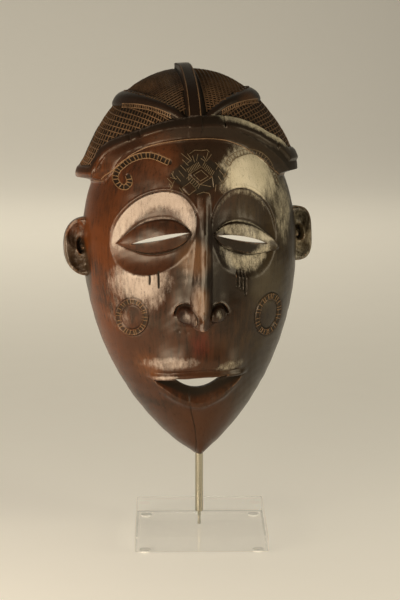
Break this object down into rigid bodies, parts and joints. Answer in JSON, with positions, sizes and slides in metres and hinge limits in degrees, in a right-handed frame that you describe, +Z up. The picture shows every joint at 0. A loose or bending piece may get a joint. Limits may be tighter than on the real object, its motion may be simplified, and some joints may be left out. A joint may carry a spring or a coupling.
{
  "type": "carved wooden mask on a display stand",
  "caption": "Hollow carved wooden face mask with a ribbed cap, open behind, held up by a steel rod in a clear acrylic block on clear feet.",
  "frame": {"origin": "under the middle of the whole object's box, on the surface that the stand's feet rest on", "axes": "+Z up along the rod, -Y the way the stand's front looks, +X to the viewer's right; the mask itself is turned a few degrees to the viewer's right and leans back"},
  "size_m": [0.191, 0.1122, 0.3585],
  "materials": {
    "carved_wood": "hand-polished dark brown hardwood with a worn black and red-brown patina",
    "rod_steel": "drawn steel rod, lightly brushed",
    "clear_acrylic": "polished clear acrylic",
    "clear_bumper": "clear soft self-stick bumper"
  },
  "bodies": {
    "root": {"mask": "carved_wood", "rod": "rod_steel", "base_block": "clear_acrylic", "foot_front_left": "clear_bumper", "foot_front_right": "clear_bumper", "foot_back_left": "clear_bumper", "foot_back_right": "clear_bumper"}
  },
  "joints": []
}
